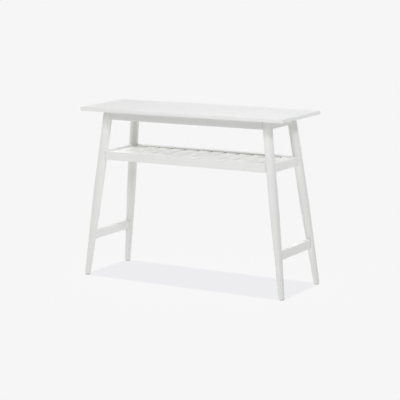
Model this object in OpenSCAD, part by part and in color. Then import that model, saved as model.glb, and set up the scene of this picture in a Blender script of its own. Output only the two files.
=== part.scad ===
// Console table: a thin top on four splayed turned legs, joined by aprons and by a slatted shelf.
// Millimetres, +Z up. The origin is on the floor under the middle of the table.
// X runs along the table, and the front faces -Y.

/* [Table top] */
// Overall height, from the floor to the top surface
table_h = 750; // [700:5:850]
// Length of the top
top_l = 1000; // [960:10:1200]
// Depth of the top
top_w = 340; // [320:5:420]
// Thickness of the top
top_t = 15; // [14:1:20]

/* [Legs] */
// Distance of a leg's axis from the middle, along X, under the top
leg_top_x = 394; // [370:1:420]
// The same along Y
leg_top_y = 107; // [95:1:120]
// Distance of a leg's axis from the middle, along X, on the floor
leg_foot_x = 490; // [440:1:520]
// The same along Y
leg_foot_y = 160; // [130:1:180]
// Diameter of the straight upper part of a leg
leg_d = 40; // [36:1:46]
// Diameter of a leg at the floor
foot_d = 25; // [22:1:30]
// Height where the taper starts
taper_z = 350; // [250:10:450]

/* [Rails] */
// Thickness of every apron, shelf rail and stretcher
rail_t = 20; // [18:1:22]
// Height of the aprons
apron_h = 39; // [36:1:50]
// Height of the top edge of the shelf rails
shelf_top_z = 557; // [500:1:600]
// Height of the shelf rails' faces
shelf_rail_h = 37; // [34:1:45]
// Height of the top edge of the two stretchers
stretcher_top_z = 199; // [150:1:300]
// Height of the stretchers' faces
stretcher_h = 38; // [34:1:45]
// How deep a rail's end is let into the round of a leg
seat_depth = 1; // [0.5:0.5:2]

/* [Slats] */
// Number of slats
slat_count = 12; // [8:1:14]
// Gap between two slats
slat_gap = 10; // [4:1:12]
// Thickness of a slat
slat_t = 12; // [10:1:14]
// Drop from the top edge of the shelf rails to the slats
slat_drop = 7; // [3:1:8]
// Depth of the grooves that hold the slats' ends
groove_depth = 5; // [4:0.5:6]
// Room above a slat's end in its groove
groove_room = 0.2; // [0.1:0.1:2]

/* [Joints and fittings] */
// Diameter of the wooden dowels
dowel_d = 8; // [6:1:8]
// Length of a dowel inside a rail
dowel_in_rail = 18; // [14:1:20]
// Length of a dowel inside a leg
dowel_in_leg = 12; // [10:1:12]
// Height of a corner block
block_h = 30; // [24:1:34]
// Diameter of the hanger bolts
bolt_d = 6; // [5:1:6]
// Diameter of the screws that hold the top
screw_d = 4; // [3:0.5:4]
// Diameter of a foot glide
glide_d = 19; // [16:1:20]
// Thickness of a foot glide
glide_t = 3; // [2:0.5:4]

/* [Hidden] */
paint = "#eeeeea";
raw_wood = "#d8b98c";
steel = "#b8bcc0";
nylon = "#55565a";

CORNERS = [["front_left", -1, -1], ["front_right", 1, -1], ["back_left", -1, 1], ["back_right", 1, 1]];
slat_numbers = [for (i = [1:slat_count]) i];
function slat_name(i) = str("slat_", i < 10 ? "0" : "", i);

// Where a leg's axis is at height z, in the quarter where x and y are positive
frame_top_z = table_h - top_t;
function axis_x(z) = leg_foot_x + (leg_top_x - leg_foot_x) * z / frame_top_z;
function axis_y(z) = leg_foot_y + (leg_top_y - leg_foot_y) * z / frame_top_z;

// Radius of a leg at height z, and how far from the axis a rail's end sits
function leg_r(z) = z > taper_z ? leg_d / 2 : foot_d / 2 + (leg_d - foot_d) / 2 * z / taper_z;
function seat_r(z) = leg_r(z) - seat_depth;

leg_run_x = leg_foot_x - leg_top_x;
leg_run_y = leg_foot_y - leg_top_y;
leg_tilt = atan(norm([leg_run_x, leg_run_y]) / frame_top_z);
leg_spare = 15;

apron_z = frame_top_z - apron_h;
shelf_z = shelf_top_z - shelf_rail_h;
stretcher_z = stretcher_top_z - stretcher_h;
apron_mid = apron_z + apron_h / 2;
shelf_mid = shelf_z + shelf_rail_h / 2;
stretcher_mid = stretcher_z + stretcher_h / 2;

slat_z = shelf_top_z - slat_drop - slat_t;
slat_pitch = 2 * (axis_x(shelf_mid) - rail_t / 2) / slat_count;
slat_w = slat_pitch - slat_gap;
groove_y = axis_y(shelf_mid) - rail_t / 2 + groove_depth;
tongue_play = 0.5;
notch_x = axis_x(shelf_mid) - leg_d / 2 - 3;
notch_y = axis_y(shelf_mid) - leg_d / 2 - 3;

dowel_rise = 9.5;
dowel_play = 0.05;
hole_extra = 0.5;

// The corner block lies across the corner; both numbers are x + y, measured from the leg's axis
block_near = 46;
block_far = 80;
bolt_z = apron_mid;
bolt_in_leg = 8;
bolt_end = 70;
bolt_point = 5;
bolt_play = 0.5;
washer_d = 14;
washer_t = 1.6;
nut_d = 11.5;
nut_t = 5;
block_z = frame_top_z - block_h;
screw_l = 40;
screw_head_d = 8;
screw_head_h = 2.5;
screw_places = [[46, 17], [17, 46]];
glide_pin_d = 3;
glide_pin_l = 12;

module mirror_to(sx, sy) {
    mirror([sx < 0 ? 1 : 0, 0, 0]) mirror([0, sy < 0 ? 1 : 0, 0]) children();
}

// Puts children on a leg's axis at the height of the aprons, with x and y running into the frame
module at_corner(sx, sy) {
    mirror_to(sx, sy) translate([axis_x(apron_mid), axis_y(apron_mid), 0]) rotate([0, 0, 180]) children();
}

// ---- Rails ----

// A bar along X between two legs, with ends cut parallel to the legs
module long_rail(z, h, side) {
    reach_low = axis_x(z) - seat_r(z);
    reach_high = axis_x(z + h) - seat_r(z + h);
    translate([0, side * axis_y(z + h / 2) + rail_t / 2, 0]) rotate([90, 0, 0]) linear_extrude(rail_t)
        polygon([[-reach_low, z], [reach_low, z], [reach_high, z + h], [-reach_high, z + h]]);
}

// The same along Y
module short_rail(z, h, side) {
    reach_low = axis_y(z) - seat_r(z);
    reach_high = axis_y(z + h) - seat_r(z + h);
    translate([side * axis_x(z + h / 2) - rail_t / 2, 0, 0]) rotate([90, 0, 90]) linear_extrude(rail_t)
        polygon([[-reach_low, z], [reach_low, z], [reach_high, z + h], [-reach_high, z + h]]);
}

// Two dowels, or their holes, where a long rail meets the leg of one corner
module long_joint(z, h, sx, sy, play = 0, extra = 0) {
    for (rise = [-dowel_rise, dowel_rise]) {
        level = z + h / 2 + rise;
        translate([sx * (axis_x(level) - seat_r(level)), sy * axis_y(z + h / 2), level]) rotate([0, sx * 90, 0])
            translate([0, 0, -dowel_in_rail - extra])
                cylinder(h = dowel_in_rail + dowel_in_leg + 2 * extra, d = dowel_d + 2 * play, $fn = 48);
    }
}

// The same where a short rail meets the leg
module short_joint(z, h, sx, sy, play = 0, extra = 0) {
    for (rise = [-dowel_rise, dowel_rise]) {
        level = z + h / 2 + rise;
        translate([sx * axis_x(z + h / 2), sy * (axis_y(level) - seat_r(level)), level]) rotate([-sy * 90, 0, 0])
            translate([0, 0, -dowel_in_rail - extra])
                cylinder(h = dowel_in_rail + dowel_in_leg + 2 * extra, d = dowel_d + 2 * play, $fn = 48);
    }
}

module long_member(z, h, side) {
    difference() {
        long_rail(z, h, side);
        for (sx = [-1, 1]) long_joint(z, h, sx, side, dowel_play, hole_extra);
    }
}

module short_member(z, h, side) {
    difference() {
        short_rail(z, h, side);
        for (sy = [-1, 1]) short_joint(z, h, side, sy, dowel_play, hole_extra);
    }
}

module apron_long(side) {
    color(paint) long_member(apron_z, apron_h, side);
}

module apron_short(side) {
    color(paint) short_member(apron_z, apron_h, side);
}

// The long shelf rails have a groove on their inner face for the slats' ends
module shelf_rail_long(side) {
    color(paint) difference() {
        long_member(shelf_z, shelf_rail_h, side);
        mirror_to(1, side)
            translate([-top_l / 2, groove_y - groove_depth - 1, slat_z])
                cube([top_l, groove_depth + 1, slat_t + groove_room]);
    }
}

module shelf_rail_short(side) {
    color(paint) short_member(shelf_z, shelf_rail_h, side);
}

module stretcher(side) {
    color(paint) short_member(stretcher_z, stretcher_h, side);
}

// ---- Slats ----

// The two end slats are notched round the legs
module slat(i) {
    reach = groove_y - tongue_play;
    left = (i - (slat_count + 1) / 2) * slat_pitch - slat_w / 2;
    color(paint) difference() {
        translate([left, -reach, slat_z]) cube([slat_w, 2 * reach, slat_t]);
        if (i == 1 || i == slat_count)
            for (sx = [-1, 1], sy = [-1, 1])
                mirror_to(sx, sy) translate([notch_x, notch_y, slat_z - 1]) cube([leg_d, leg_d, slat_t + 2]);
    }
}

// ---- Legs ----

// A straight upper part and a cone below, turned on the leg's own axis and longer than needed at both ends
module turned_leg(sx, sy) {
    taper_s = taper_z / cos(leg_tilt);
    slope = (leg_d - foot_d) / 2 / taper_s;
    translate([sx * leg_foot_x, sy * leg_foot_y, 0])
        rotate([0, -leg_tilt, atan2(sy * leg_run_y, sx * leg_run_x)])
            rotate_extrude($fn = 96)
                polygon([
                    [0, -leg_spare],
                    [foot_d / 2 - slope * leg_spare, -leg_spare],
                    [leg_d / 2, taper_s],
                    [leg_d / 2, frame_top_z / cos(leg_tilt) + leg_spare],
                    [0, frame_top_z / cos(leg_tilt) + leg_spare]
                ]);
}

module leg(sx, sy) {
    color(paint) difference() {
        intersection() {
            turned_leg(sx, sy);
            translate([-top_l, -top_w, glide_t]) cube([2 * top_l, 2 * top_w, frame_top_z - glide_t]);
        }
        long_rail(apron_z, apron_h, sy);
        long_rail(shelf_z, shelf_rail_h, sy);
        short_rail(apron_z, apron_h, sx);
        short_rail(shelf_z, shelf_rail_h, sx);
        short_rail(stretcher_z, stretcher_h, sx);
        long_joint(apron_z, apron_h, sx, sy, dowel_play, hole_extra);
        long_joint(shelf_z, shelf_rail_h, sx, sy, dowel_play, hole_extra);
        short_joint(apron_z, apron_h, sx, sy, dowel_play, hole_extra);
        short_joint(shelf_z, shelf_rail_h, sx, sy, dowel_play, hole_extra);
        short_joint(stretcher_z, stretcher_h, sx, sy, dowel_play, hole_extra);
        at_corner(sx, sy) hanger_bolt(dowel_play);
        glide_pin(sx, sy, dowel_play);
    }
}

// ---- Table top ----

module table_top() {
    color(paint) difference() {
        translate([-top_l / 2, -top_w / 2, frame_top_z]) cube([top_l, top_w, top_t]);
        for (c = CORNERS) at_corner(c[1], c[2]) for (p = screw_places) screw(p, dowel_play);
    }
}

// ---- Corner blocks, hanger bolts and the screws of the top ----

module corner_block(sx, sy) {
    edge = rail_t / 2;
    color(raw_wood) at_corner(sx, sy) difference() {
        translate([0, 0, block_z]) linear_extrude(block_h)
            polygon([
                [block_near - edge, edge], [block_far - edge, edge],
                [edge, block_far - edge], [edge, block_near - edge]
            ]);
        hanger_bolt(bolt_play);
        for (p = screw_places) screw(p, dowel_play);
    }
}

// Along the diagonal of the corner, with its point in the leg
module hanger_bolt(play = 0) {
    r = bolt_d / 2 + play;
    translate([0, 0, bolt_z]) rotate([0, 90, 45]) translate([0, 0, -bolt_in_leg - play]) rotate_extrude($fn = 48)
        polygon([[0, 0], [r / 3, 0], [r, bolt_point], [r, bolt_in_leg + bolt_end], [0, bolt_in_leg + bolt_end]]);
}

module on_block_face(offset = 0) {
    translate([0, 0, bolt_z]) rotate([0, 90, 45]) translate([0, 0, block_far / sqrt(2) + offset]) children();
}

module bolt_washer() {
    on_block_face() difference() {
        cylinder(h = washer_t, d = washer_d, $fn = 48);
        translate([0, 0, -1]) cylinder(h = washer_t + 2, d = bolt_d + 2 * bolt_play, $fn = 48);
    }
}

module bolt_nut() {
    on_block_face(washer_t) difference() {
        cylinder(h = nut_t, d = nut_d, $fn = 6);
        translate([0, 0, -1]) cylinder(h = nut_t + 2, d = bolt_d + 2 * dowel_play, $fn = 48);
    }
}

// A countersunk screw, point up, with its head flush in the bottom of a corner block
module screw(place, play = 0) {
    r = screw_d / 2 + play;
    head_r = screw_head_d / 2 + play;
    translate([place[0], place[1], block_z]) rotate_extrude($fn = 48)
        polygon([[0, 0], [head_r, 0], [r, screw_head_h], [r, screw_l - screw_d], [play, screw_l + play], [0, screw_l + play]]);
}

module apron_dowels() {
    color(raw_wood) for (c = CORNERS) {
        long_joint(apron_z, apron_h, c[1], c[2]);
        short_joint(apron_z, apron_h, c[1], c[2]);
    }
}

module shelf_dowels() {
    color(raw_wood) for (c = CORNERS) {
        long_joint(shelf_z, shelf_rail_h, c[1], c[2]);
        short_joint(shelf_z, shelf_rail_h, c[1], c[2]);
    }
}

module stretcher_dowels() {
    color(raw_wood) for (c = CORNERS) short_joint(stretcher_z, stretcher_h, c[1], c[2]);
}

module hanger_bolts() {
    color(steel) for (c = CORNERS) at_corner(c[1], c[2]) hanger_bolt();
}

module bolt_washers() {
    color(steel) for (c = CORNERS) at_corner(c[1], c[2]) bolt_washer();
}

module bolt_nuts() {
    color(steel) for (c = CORNERS) at_corner(c[1], c[2]) bolt_nut();
}

module top_screws() {
    color(steel) for (c = CORNERS) at_corner(c[1], c[2]) for (p = screw_places) screw(p);
}

// ---- Foot glides ----

module glide_pin(sx, sy, play = 0) {
    translate([sx * axis_x(glide_t), sy * axis_y(glide_t), glide_t - 0.5])
        cylinder(h = glide_pin_l + 0.5 + play, d = glide_pin_d + 2 * play, $fn = 32);
}

module foot_glide(sx, sy) {
    color(nylon) {
        translate([sx * axis_x(glide_t), sy * axis_y(glide_t), 0]) cylinder(h = glide_t, d = glide_d, $fn = 64);
        glide_pin(sx, sy);
    }
}

// ---- Nodes ----

table_top();
for (c = CORNERS) leg(c[1], c[2]);
apron_long(-1);  // apron_front
apron_long(1);  // apron_back
apron_short(-1);  // apron_left
apron_short(1);  // apron_right
shelf_rail_long(-1);  // shelf_rail_front
shelf_rail_long(1);  // shelf_rail_back
shelf_rail_short(-1);  // shelf_rail_left
shelf_rail_short(1);  // shelf_rail_right
for (i = slat_numbers) slat(i);
stretcher(-1);  // stretcher_left
stretcher(1);  // stretcher_right
for (c = CORNERS) corner_block(c[1], c[2]);
apron_dowels();
shelf_dowels();
stretcher_dowels();
hanger_bolts();
bolt_washers();
bolt_nuts();
top_screws();
for (c = CORNERS) foot_glide(c[1], c[2]);
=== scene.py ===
import math

import bmesh
import bpy
from mathutils import Matrix, Vector


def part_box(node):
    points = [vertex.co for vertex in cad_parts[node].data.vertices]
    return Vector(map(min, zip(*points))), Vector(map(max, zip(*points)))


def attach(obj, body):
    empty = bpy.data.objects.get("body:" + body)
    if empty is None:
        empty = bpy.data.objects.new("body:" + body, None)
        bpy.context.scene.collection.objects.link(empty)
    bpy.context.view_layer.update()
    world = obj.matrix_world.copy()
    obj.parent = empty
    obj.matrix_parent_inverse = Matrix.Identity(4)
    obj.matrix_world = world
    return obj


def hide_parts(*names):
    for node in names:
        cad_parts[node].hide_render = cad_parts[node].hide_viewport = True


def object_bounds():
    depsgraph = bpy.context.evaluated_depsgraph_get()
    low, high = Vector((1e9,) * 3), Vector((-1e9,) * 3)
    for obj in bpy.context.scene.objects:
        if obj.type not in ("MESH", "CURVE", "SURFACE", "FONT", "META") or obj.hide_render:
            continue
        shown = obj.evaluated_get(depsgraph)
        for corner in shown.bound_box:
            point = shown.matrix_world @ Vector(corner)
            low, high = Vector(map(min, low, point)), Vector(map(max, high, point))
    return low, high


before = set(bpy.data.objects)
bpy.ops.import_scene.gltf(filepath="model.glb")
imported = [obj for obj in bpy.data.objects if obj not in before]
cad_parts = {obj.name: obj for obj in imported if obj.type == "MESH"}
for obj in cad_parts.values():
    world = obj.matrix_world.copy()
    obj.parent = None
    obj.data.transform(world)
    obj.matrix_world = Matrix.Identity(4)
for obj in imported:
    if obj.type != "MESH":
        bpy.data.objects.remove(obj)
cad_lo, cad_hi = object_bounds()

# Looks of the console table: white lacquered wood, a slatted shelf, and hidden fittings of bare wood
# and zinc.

# ---- Sizes in metres that the frame's boxes don't give ----

LEG_R = 0.020  # the straight upper part of a leg
FOOT_R = 0.0125  # a leg at the floor
TAPER_Z = 0.350  # where the taper starts
TAPER_BLEND = 0.030  # the sanded transition between the two parts of a leg
LEG_SIDES = 96
LEG_RING_STEP = 0.030  # the most height between two rings of a leg
FOOT_ROUND = 0.0015  # radius of the rim under a foot
RIM_CURVE = ((0.0, 1.0), (0.13, 0.5), (0.5, 0.13), (1.0, 0.0))  # rise and inset of its rings, in FOOT_ROUNDs
GROOVE_PLAY = 0.0005  # room behind the end of a slat
GROOVE_ROOM = 0.0002  # room above it
BOARD_ROUND = 0.0012  # radius of the edges of the top
RAIL_ROUND = 0.0014
SLAT_ROUND = 0.0025
ROUND_STEPS = 3
SHARP_ANGLE = math.radians(40)  # edges that turn by more than this stay sharp in the shading
NORMAL_WEIGHT = 100  # of 100: the largest faces decide the shading of their corners
LEVEL_REACH = 0.0001  # how near a vertex lies to a level to count as on it

CORNERS = {
    "front_left": (-1, -1),
    "front_right": (1, -1),
    "back_left": (-1, 1),
    "back_right": (1, 1),
}
SLATS = sorted(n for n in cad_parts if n.startswith("slat_"))
BLOCKS = sorted(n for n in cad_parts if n.startswith("corner_block_"))
GLIDES = sorted(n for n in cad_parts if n.startswith("foot_glide_"))
DOWELS = sorted(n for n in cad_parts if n.endswith("_dowels"))
STEEL = ["hanger_bolts", "bolt_washers", "bolt_nuts", "top_screws"]

# ---- Materials ----


def new_material(name):
    """A node material with its tree, its shader and the object's own coordinates."""
    material = bpy.data.materials.new(name)
    material.use_nodes = True
    tree = material.node_tree
    shader = tree.nodes["Principled BSDF"]
    place = tree.nodes.new("ShaderNodeTexCoord").outputs["Object"]
    return material, tree, shader, place


def stretched(tree, place, scale):
    """The coordinates times a scale for each axis, in waves per metre."""
    mapping = tree.nodes.new("ShaderNodeMapping")
    mapping.inputs["Scale"].default_value = scale
    tree.links.new(place, mapping.inputs["Vector"])
    return mapping.outputs["Vector"]


def noise_of(tree, vector, scale=1.0, detail=4.0, roughness=0.55, distortion=0.0):
    """A noise from 0 to 1, most of it near the middle, at a scale in waves per metre."""
    node = tree.nodes.new("ShaderNodeTexNoise")
    node.inputs["Scale"].default_value = scale
    node.inputs["Detail"].default_value = detail
    node.inputs["Roughness"].default_value = roughness
    node.inputs["Distortion"].default_value = distortion
    tree.links.new(vector, node.inputs["Vector"])
    return node.outputs["Fac"]


def spread(tree, value, low, high, from_low=0.3, from_high=0.7):
    """A value mapped from the middle of a noise's range onto low to high."""
    node = tree.nodes.new("ShaderNodeMapRange")
    node.inputs["From Min"].default_value = from_low
    node.inputs["From Max"].default_value = from_high
    node.inputs["To Min"].default_value = low
    node.inputs["To Max"].default_value = high
    tree.links.new(value, node.inputs["Value"])
    return node.outputs["Result"]


def between(tree, factor, dark, light):
    """A colour between two, by a factor from 0 to 1."""
    ramp = tree.nodes.new("ShaderNodeValToRGB")
    ramp.color_ramp.elements[0].color = (*dark, 1)
    ramp.color_ramp.elements[1].color = (*light, 1)
    tree.links.new(factor, ramp.inputs["Fac"])
    return ramp.outputs["Color"]


def bumped(tree, shader, heights):
    """Adds bumps to the shader, each a (height, depth in metres) pair."""
    normal = None
    for height, depth in heights:
        bump = tree.nodes.new("ShaderNodeBump")
        bump.inputs["Strength"].default_value = 1.0
        bump.inputs["Distance"].default_value = depth
        tree.links.new(height, bump.inputs["Height"])
        if normal:
            tree.links.new(normal, bump.inputs["Normal"])
        normal = bump.outputs["Normal"]
    tree.links.new(normal, shader.inputs["Normal"])


def along(axis, cross, length):
    """A scale that draws noise out along one axis."""
    return tuple(length if a == axis else cross for a in "xyz")


PAINT_DARK = (0.810, 0.812, 0.792)
PAINT_LIGHT = (0.836, 0.838, 0.818)
BLOCK_DARK = (0.46, 0.29, 0.15)
BLOCK_LIGHT = (0.66, 0.47, 0.28)
# The groove's two colours: bare wood made far darker than the blocks' bare wood, as painted shade of the deep
# recess between the slats.
GROOVE_WOOD_AND_SHADE_DARK = (0.050, 0.028, 0.018)
GROOVE_WOOD_AND_SHADE_LIGHT = (0.100, 0.058, 0.036)
ZINC_DARK = (0.50, 0.51, 0.52)
ZINC_LIGHT = (0.70, 0.71, 0.71)
NYLON_DARK = (0.30, 0.30, 0.29)
NYLON_LIGHT = (0.42, 0.42, 0.41)

# How fine each texture is, in waves per metre; a grain is fine across the wood and long with it.
CLOUDS = 9.0
PAINT_GRAIN = (420.0, 9.0)
PAINT_PEEL = 900.0
RINGS = (120.0, 7.0)
PORES = (1400.0, 60.0)
ZINC_CLOUDS = 160.0
TURNING_MARKS = (900.0, 900.0, 5200.0)
NYLON_GRAINS = 1500.0
NYLON_SCUFFS = 130.0

# How deep each texture's bumps are, in metres.
GRAIN_DEPTH = 0.0003
PEEL_DEPTH = 0.00006
RING_DEPTH = 0.00015
PORE_DEPTH = 0.00006
MARK_DEPTH = 0.00002
NYLON_DEPTH = 0.00003

# Shine, coat and roughness. A roughness goes from a low to a high value over its texture.
PAINT_SHINE = 0.45
PAINT_COAT = 0.12
PAINT_COAT_ROUGHNESS = 0.28
PAINT_ROUGHNESS = (0.38, 0.50)
WOOD_SHINE = 0.25
WOOD_ROUGHNESS = (0.62, 0.82)
ZINC_ROUGHNESS = (0.26, 0.42)
NYLON_ROUGHNESS = (0.45, 0.65)

GRAIN_SHARE = 0.35  # how much of the paint's tone follows the grain; the rest is cloudy


def white_paint(axis):
    """Satin white lacquer over wood whose grain runs along one axis."""
    material, tree, shader, place = new_material("white_paint_" + axis)
    shader.inputs["Specular IOR Level"].default_value = PAINT_SHINE
    shader.inputs["Coat Weight"].default_value = PAINT_COAT
    shader.inputs["Coat Roughness"].default_value = PAINT_COAT_ROUGHNESS
    cloudy = noise_of(tree, place, CLOUDS, detail=3.0)
    grain = noise_of(tree, stretched(tree, place, along(axis, *PAINT_GRAIN)), detail=5.0, distortion=0.6)
    peel = noise_of(tree, place, PAINT_PEEL, detail=2.0)
    tone = tree.nodes.new("ShaderNodeMath")
    tone.operation = "MULTIPLY_ADD"
    tone.inputs[1].default_value = GRAIN_SHARE
    tree.links.new(grain, tone.inputs[0])
    tree.links.new(spread(tree, cloudy, 0.0, 1.0 - GRAIN_SHARE), tone.inputs[2])
    colours = between(tree, tone.outputs["Value"], PAINT_DARK, PAINT_LIGHT)
    tree.links.new(colours, shader.inputs["Base Color"])
    tree.links.new(spread(tree, grain, *PAINT_ROUGHNESS), shader.inputs["Roughness"])
    bumped(tree, shader, [(grain, GRAIN_DEPTH), (peel, PEEL_DEPTH)])
    return material


def bare_wood(name, dark, light, axis):
    """Sanded wood with no finish: growth rings drawn out along one axis, and short pores."""
    material, tree, shader, place = new_material(name)
    shader.inputs["Specular IOR Level"].default_value = WOOD_SHINE
    rings = noise_of(tree, stretched(tree, place, along(axis, *RINGS)), detail=6.0, distortion=1.2)
    pores = noise_of(tree, stretched(tree, place, along(axis, *PORES)), detail=2.0)
    colours = between(tree, spread(tree, rings, 0.0, 1.0), dark, light)
    tree.links.new(colours, shader.inputs["Base Color"])
    tree.links.new(spread(tree, pores, *WOOD_ROUGHNESS), shader.inputs["Roughness"])
    bumped(tree, shader, [(rings, RING_DEPTH), (pores, PORE_DEPTH)])
    return material


def zinc_steel():
    """Zinc plated steel, faintly clouded, with fine turning marks."""
    material, tree, shader, place = new_material("zinc_steel")
    shader.inputs["Metallic"].default_value = 1.0
    cloudy = noise_of(tree, place, ZINC_CLOUDS, detail=3.0)
    marks = noise_of(tree, stretched(tree, place, TURNING_MARKS), detail=2.0)
    colours = between(tree, spread(tree, cloudy, 0.0, 1.0), ZINC_DARK, ZINC_LIGHT)
    tree.links.new(colours, shader.inputs["Base Color"])
    tree.links.new(spread(tree, cloudy, *ZINC_ROUGHNESS), shader.inputs["Roughness"])
    bumped(tree, shader, [(marks, MARK_DEPTH)])
    return material


def nylon():
    """Grey moulded nylon, scuffed where it slides."""
    material, tree, shader, place = new_material("glide_nylon")
    grains = noise_of(tree, place, NYLON_GRAINS, detail=2.0)
    scuffs = noise_of(tree, place, NYLON_SCUFFS, detail=4.0)
    colours = between(tree, spread(tree, scuffs, 0.0, 1.0), NYLON_DARK, NYLON_LIGHT)
    tree.links.new(colours, shader.inputs["Base Color"])
    tree.links.new(spread(tree, scuffs, *NYLON_ROUGHNESS), shader.inputs["Roughness"])
    bumped(tree, shader, [(grains, NYLON_DEPTH)])
    return material


PAINT = {axis: white_paint(axis) for axis in "xyz"}
BARE_BLOCK = bare_wood("bare_wood", BLOCK_DARK, BLOCK_LIGHT, "x")
# The groove's wood is coloured far darker than bare wood: painted shade of the recess.
GROOVE_WOOD_AND_PAINTED_SHADE = bare_wood("groove_wood_and_painted_shade", GROOVE_WOOD_AND_SHADE_DARK, GROOVE_WOOD_AND_SHADE_LIGHT, "x")
ZINC = zinc_steel()
NYLON = nylon()

# ---- Meshes ----


def finished_object(name, bm, materials, node):
    """Turns a bmesh into a piece that stands for a CAD node and rides on the table."""
    bmesh.ops.recalc_face_normals(bm, faces=bm.faces)
    for face in bm.faces:
        face.smooth = True
    for edge in bm.edges:
        edge.smooth = edge.calc_face_angle() < SHARP_ANGLE
    mesh = bpy.data.meshes.new(name)
    bm.to_mesh(mesh)
    bm.free()
    for material in materials:
        mesh.materials.append(material)
    piece = bpy.data.objects.new(name, mesh)
    bpy.context.scene.collection.objects.link(piece)
    weighted = piece.modifiers.new("weighted_normals", "WEIGHTED_NORMAL")
    weighted.keep_sharp = True
    weighted.weight = NORMAL_WEIGHT
    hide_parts(node)
    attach(piece, "root")
    return piece


def level_box(node, z):
    """Lowest and highest x and y of a CAD node's vertices at height z."""
    found = [v.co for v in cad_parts[node].data.vertices if abs(v.co.z - z) < LEVEL_REACH]
    xs = [co.x for co in found]
    ys = [co.y for co in found]
    return (min(xs), min(ys)), (max(xs), max(ys))


def rounded(bm, edges, width):
    """Rounds some edges of a bmesh."""
    bmesh.ops.bevel(
        bm, geom=edges, offset=width, segments=ROUND_STEPS, profile=0.5, affect="EDGES", clamp_overlap=True
    )


def bar(name, node, width, axis):
    """A straight bar with rounded edges, whose ends may lean, from a CAD node's lower and upper outlines."""
    lo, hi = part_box(node)
    bm = bmesh.new()
    rings = []
    for z in (lo.z, hi.z):
        (x0, y0), (x1, y1) = level_box(node, z)
        rings.append([bm.verts.new((x, y, z)) for x, y in ((x0, y0), (x1, y0), (x1, y1), (x0, y1))])
    low, high = rings
    bm.faces.new(low[::-1])
    bm.faces.new(high)
    for i in range(len(low)):
        j = (i + 1) % len(low)
        bm.faces.new((low[i], low[j], high[j], high[i]))
    rounded(bm, list(bm.edges), width)
    return finished_object(name, bm, [PAINT[axis]], node)


def grooved_rail(name, node, side):
    """A long shelf rail with the groove for the slats on its inner face. The groove's inside is bare wood,
    coloured far darker than bare wood as painted shade of the deep recess.
    """
    lo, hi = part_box(node)
    half_low = level_box(node, lo.z)[1][0]
    half_high = level_box(node, hi.z)[1][0]
    outer, inner = (lo.y, hi.y) if side < 0 else (hi.y, lo.y)
    slat_lo, slat_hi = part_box(SLATS[0])
    floor_z = slat_lo.z
    roof_z = slat_hi.z + GROOVE_ROOM
    wall_y = side * (slat_hi.y + GROOVE_PLAY)
    section = [
        (outer, lo.z), (outer, hi.z), (inner, hi.z), (inner, roof_z),
        (wall_y, roof_z), (wall_y, floor_z), (inner, floor_z), (inner, lo.z),
    ]
    groove_faces = {3, 4, 5}  # the sides of the section that line the groove
    bm = bmesh.new()
    ends = []
    for sx in (-1, 1):
        ring = []
        for y, z in section:
            reach = half_low + (half_high - half_low) * (z - lo.z) / (hi.z - lo.z)
            ring.append(bm.verts.new((sx * reach, y, z)))
        ends.append(ring)
    left, right = ends
    bm.faces.new(left)
    bm.faces.new(right[::-1])
    kept_sharp = set()
    for i in range(len(section)):
        j = (i + 1) % len(section)
        face = bm.faces.new((left[i], right[i], right[j], left[j]))
        if i in groove_faces:
            # the groove's faces take its dark material, which paints the recess's shade
            face.material_index = 1
            kept_sharp.update(face.edges)
    rounded(bm, [e for e in bm.edges if e not in kept_sharp], RAIL_ROUND)
    return finished_object(name, bm, [PAINT["x"], GROOVE_WOOD_AND_PAINTED_SHADE], node)


def end_slat(name, node):
    """A slat whose two outer corners are notched round the legs."""
    lo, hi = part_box(node)
    outward = 1 if lo.x > 0 else -1
    outer, inner = (hi.x, lo.x) if outward > 0 else (lo.x, hi.x)
    (notch_x_low, _), (notch_x_high, notch_y) = notch_corners(node)
    notch_x = notch_x_high if outward > 0 else notch_x_low
    outline = [
        (inner, -hi.y), (notch_x, -hi.y), (notch_x, -notch_y), (outer, -notch_y),
        (outer, notch_y), (notch_x, notch_y), (notch_x, hi.y), (inner, hi.y),
    ]
    bm = bmesh.new()
    low = [bm.verts.new((x, y, lo.z)) for x, y in outline]
    high = [bm.verts.new((x, y, hi.z)) for x, y in outline]
    bm.faces.new(low)
    bm.faces.new(high[::-1])
    for i in range(len(outline)):
        j = (i + 1) % len(outline)
        bm.faces.new((low[i], low[j], high[j], high[i]))
    rounded(bm, list(bm.edges), SLAT_ROUND)
    return finished_object(name, bm, [PAINT["y"]], node)


def notch_corners(node):
    """Lowest and highest x and y of the inner corners of a slat's notches, which aren't on the slat's box."""
    lo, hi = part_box(node)
    places = [v.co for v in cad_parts[node].data.vertices]
    inside = [c for c in places if lo.x + LEVEL_REACH < c.x < hi.x - LEVEL_REACH]
    inside = [c for c in inside if lo.y + LEVEL_REACH < c.y < hi.y - LEVEL_REACH]
    xs = [c.x for c in inside]
    ys = [c.y for c in inside]
    return (min(xs), min(ys)), (max(xs), max(ys))


def leg_axis(corner):
    """The point where a leg's axis meets the glide, and the unit vector up the axis."""
    sx, sy = CORNERS[corner]
    glide_lo, glide_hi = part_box("foot_glide_" + corner)
    foot = (glide_lo + glide_hi) / 2
    foot.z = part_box("leg_" + corner)[0].z
    short_lo, short_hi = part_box("apron_right" if sx > 0 else "apron_left")
    long_lo, long_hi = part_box("apron_back" if sy > 0 else "apron_front")
    head = Vector(((short_lo.x + short_hi.x) / 2, (long_lo.y + long_hi.y) / 2, (short_lo.z + short_hi.z) / 2))
    return foot, (head - foot).normalized()


def leg_radius(z):
    """Radius at a height: a cone to TAPER_Z and straight above, with a softened change between them."""
    cone = FOOT_R + (LEG_R - FOOT_R) * z / TAPER_Z
    lean = (cone - LEG_R) / (LEG_R - FOOT_R) * TAPER_Z / TAPER_BLEND
    softened = lean if lean < -1 else (-((lean - 1) ** 2) / 4 if lean < 1 else 0.0)
    return LEG_R + softened * (LEG_R - FOOT_R) * TAPER_BLEND / TAPER_Z


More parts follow.
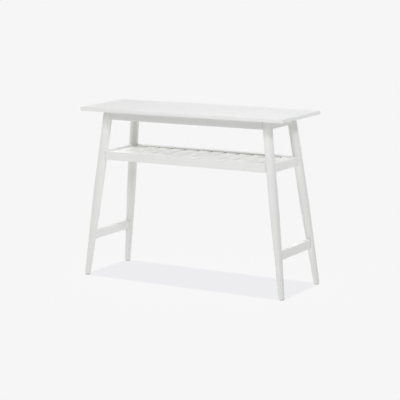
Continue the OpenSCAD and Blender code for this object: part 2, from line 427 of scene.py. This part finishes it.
def turned_leg(name, corner):
    """A turned leg, cut level at the top and at the foot, with a softened rim at the foot."""
    node = "leg_" + corner
    foot, up = leg_axis(corner)
    across = Vector((up.x, up.y, 0)).cross(Vector((0, 0, 1))).normalized()
    leaning = across.cross(up)
    bottom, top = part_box(node)[0].z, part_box(node)[1].z
    steps = math.ceil((top - bottom) / LEG_RING_STEP)
    levels = [(bottom + FOOT_ROUND * rise, FOOT_ROUND * inset) for rise, inset in RIM_CURVE]
    levels += [(bottom + (top - bottom) * i / steps, 0.0) for i in range(1, steps + 1)]
    bm = bmesh.new()
    rings = []
    for z, inset in levels:
        radius = leg_radius(z) - inset
        ring = []
        for k in range(LEG_SIDES):
            turn = 2 * math.pi * k / LEG_SIDES
            spoke = (leaning * math.cos(turn) + across * math.sin(turn)) * radius
            rise = (z - foot.z - spoke.z) / up.z
            ring.append(bm.verts.new(foot + up * rise + spoke))
        rings.append(ring)
    for low, high in zip(rings, rings[1:]):
        for k in range(LEG_SIDES):
            m = (k + 1) % LEG_SIDES
            bm.faces.new((low[k], low[m], high[m], high[k]))
    bm.faces.new(rings[0][::-1])
    bm.faces.new(rings[-1])
    return finished_object(name, bm, [PAINT["z"]], node)


# ---- The pieces of painted wood ----

bar("top_board", "table_top", BOARD_ROUND, "x")
for corner in CORNERS:
    turned_leg("turned_leg_" + corner, corner)
for end in ("front", "back"):
    bar("long_apron_" + end, "apron_" + end, RAIL_ROUND, "x")
for end in ("left", "right"):
    bar("short_apron_" + end, "apron_" + end, RAIL_ROUND, "y")
    bar("short_shelf_rail_" + end, "shelf_rail_" + end, RAIL_ROUND, "y")
    bar("low_stretcher_" + end, "stretcher_" + end, RAIL_ROUND, "y")
grooved_rail("long_shelf_rail_front", "shelf_rail_front", -1)
grooved_rail("long_shelf_rail_back", "shelf_rail_back", 1)
for node in SLATS:
    if node in (SLATS[0], SLATS[-1]):
        end_slat("shelf_" + node, node)
    else:
        bar("shelf_" + node, node, SLAT_ROUND, "y")

# ---- The fittings keep their CAD shapes ----


def dress(nodes, material):
    """Gives CAD nodes a material of their own."""
    for node in nodes:
        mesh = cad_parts[node].data
        mesh.materials.clear()
        mesh.materials.append(material)


dress(BLOCKS + DOWELS, BARE_BLOCK)
dress(STEEL, ZINC)
dress(GLIDES, NYLON)

# ---- Stage, light and camera ----

FLOOR_REACH = 150.0  # metres from the middle to each side
FLOOR_GLOW = (0.843, 0.843, 0.860)  # what the whole floor gives off, whatever shades it
FLOOR_LIT = 0.078  # what the light from above adds where nothing shades it
FLOOR_LIGHT_COLOUR = (1.0, 1.0, 0.78)  # yellowish, so the shadow that it leaves is bluish
FLOOR_ALBEDO = 0.04
FLOOR_LIGHT_SOFTNESS = 0.9  # degrees across
KEY_SOFTNESS = 25.0  # degrees across, for the suns and fills on the table
LAMP_RADIUS = 0.25  # metres
LAMP_COLOUR = (0.95, 0.95, 1.0)  # of the nearer lamps, a little blue
TABLE_MIDDLE = Vector((0, 0, 0.5))
SUN_PLACE = Vector((0, 0, 3))  # only for show, since a sun lights the same from any place

# Distant soft lights on the table: degrees to the right of the front, degrees up, and share of the light.
SUNS = {
    "sun_front_left": (-60, 30, 0.25),
    "sun_front_right": (30, 30, 0.25),
    "sun_back_left": (-120, 30, 0.50),
    "sun_back": (-150, 30, 0.15),
}
# Low fills that reach in over the shelf, each to the inner face of one rail alone.
SHELF_FILLS = {
    "long_shelf_rail_back": (0, 12, 0.15),
    "short_shelf_rail_left": (50, 12, 0.20),
}
# Nearer lamps on the table: place, and share of the light.
LAMPS = {
    "lamp_front": (Vector((0, -1.2, 2.4)), 0.20),
    "lamp_right": (Vector((2.4, -1.2, 2.4)), 0.20),
    "lamp_back": (Vector((1.2, 2.4, 1.5)), 0.30),
}


def floor_paper():
    """The pale seamless floor, which glows by itself so that shadows on it stay faint."""
    material, _, shader, _ = new_material("floor_paper")
    shader.inputs["Base Color"].default_value = (FLOOR_ALBEDO, FLOOR_ALBEDO, FLOOR_ALBEDO, 1)
    shader.inputs["Roughness"].default_value = 1.0
    shader.inputs["Specular IOR Level"].default_value = 0.0
    shader.inputs["Emission Color"].default_value = (*FLOOR_GLOW, 1)
    shader.inputs["Emission Strength"].default_value = 1.0
    return material


def floor_plane():
    """A level square under the feet, far wider than the camera's view."""
    mesh = bpy.data.meshes.new("floor")
    signs = ((-1, -1), (1, -1), (1, 1), (-1, 1))
    corners = [(sx * FLOOR_REACH, sy * FLOOR_REACH, cad_lo.z) for sx, sy in signs]
    mesh.from_pydata(corners, [], [(0, 1, 2, 3)])
    mesh.materials.append(floor_paper())
    plane = bpy.data.objects.new("floor", mesh)
    bpy.context.scene.collection.objects.link(plane)
    return plane


def light(name, kind, power, place, falls_on):
    """A light of one kind that falls only on the objects of one collection."""
    lamp = bpy.data.lights.new(name, kind)
    lamp.energy = power
    holder = bpy.data.objects.new(name, lamp)
    holder.location = place
    holder.light_linking.receiver_collection = falls_on
    bpy.context.scene.collection.objects.link(holder)
    return holder


def sun(name, turn, rise, share, softness, falls_on):
    """A distant light. With a share of 1, a white surface that faces it gives off 1."""
    holder = light(name, "SUN", math.pi * share, SUN_PLACE, falls_on)
    holder.data.angle = math.radians(softness)
    turn = math.radians(turn)
    rise = math.radians(rise)
    source = Vector((math.sin(turn) * math.cos(rise), -math.cos(turn) * math.cos(rise), math.sin(rise)))
    holder.rotation_mode = "QUATERNION"
    holder.rotation_quaternion = source.to_track_quat("Z", "Y")
    return holder


def receivers(name, objects):
    """A collection, outside the scene, of the objects that a light falls on."""
    group = bpy.data.collections.new(name)
    for item in objects:
        group.objects.link(item)
    return group


table_objects = [o for o in bpy.context.scene.objects if o.type == "MESH"]
floor = floor_plane()
on_table = receivers("lit_table", table_objects)
on_floor = receivers("lit_floor", [floor])
for name, (turn, rise, share) in SUNS.items():
    sun(name, turn, rise, share, KEY_SOFTNESS, on_table)
for name, (place, share) in LAMPS.items():
    reach = (place - TABLE_MIDDLE).length
    power = (2 * math.pi * reach) ** 2 * share  # as bright at the table's middle as a sun of that share
    lamp = light(name, "POINT", power, place, on_table)
    lamp.data.shadow_soft_size = LAMP_RADIUS
    lamp.data.color = LAMP_COLOUR
for name, (turn, rise, share) in SHELF_FILLS.items():
    on_rail = receivers("lit_" + name, [bpy.data.objects[name]])
    sun("fill_" + name, turn, rise, share, KEY_SOFTNESS, on_rail)
above = sun("sun_above", 0, 90, FLOOR_LIT / FLOOR_ALBEDO, FLOOR_LIGHT_SOFTNESS, on_floor)
above.data.color = FLOOR_LIGHT_COLOUR

def studio_world():
    """A backdrop as pale as the lit floor, for views that reach over the floor's edge. It lights nothing."""
    world = bpy.data.worlds.new("studio")
    world.use_nodes = True
    pale = [glow + FLOOR_LIT * tint for glow, tint in zip(FLOOR_GLOW, FLOOR_LIGHT_COLOUR)]
    world.node_tree.nodes["Background"].inputs["Color"].default_value = (*pale, 1)
    visible = world.cycles_visibility
    visible.diffuse = False
    visible.glossy = False
    visible.transmission = False
    visible.scatter = False
    return world


bpy.context.scene.world = studio_world()
bpy.context.scene.view_settings.view_transform = "Standard"

CAMERA_PLACE = Vector((3.250, -5.358, 1.495))
CAMERA_TURN = math.radians(31.21)  # to the left of +Y
CAMERA_DIP = math.radians(10.336)  # below level
CAMERA_ROLL = math.radians(-0.65)
CAMERA_LENS = 131.9  # millimetres
CAMERA_SENSOR = 36.0  # millimetres across
CAMERA_CLIP = 400.0  # metres


def camera_matrix():
    """The camera's axes from its turn, dip and roll."""
    ahead = Vector((
        -math.sin(CAMERA_TURN) * math.cos(CAMERA_DIP),
        math.cos(CAMERA_TURN) * math.cos(CAMERA_DIP),
        -math.sin(CAMERA_DIP),
    ))
    level = Vector((math.cos(CAMERA_TURN), math.sin(CAMERA_TURN), 0))
    upright = level.cross(ahead)
    right = level * math.cos(CAMERA_ROLL) + upright * math.sin(CAMERA_ROLL)
    up = upright * math.cos(CAMERA_ROLL) - level * math.sin(CAMERA_ROLL)
    axes = Matrix((right, up, -ahead)).transposed()
    return Matrix.Translation(CAMERA_PLACE) @ axes.to_4x4()


camera_data = bpy.data.cameras.new("camera")
camera_data.lens = CAMERA_LENS
camera_data.sensor_width = CAMERA_SENSOR
camera_data.clip_end = CAMERA_CLIP
camera = bpy.data.objects.new("camera", camera_data)
camera.matrix_world = camera_matrix()
bpy.context.scene.collection.objects.link(camera)
bpy.context.scene.camera = camera
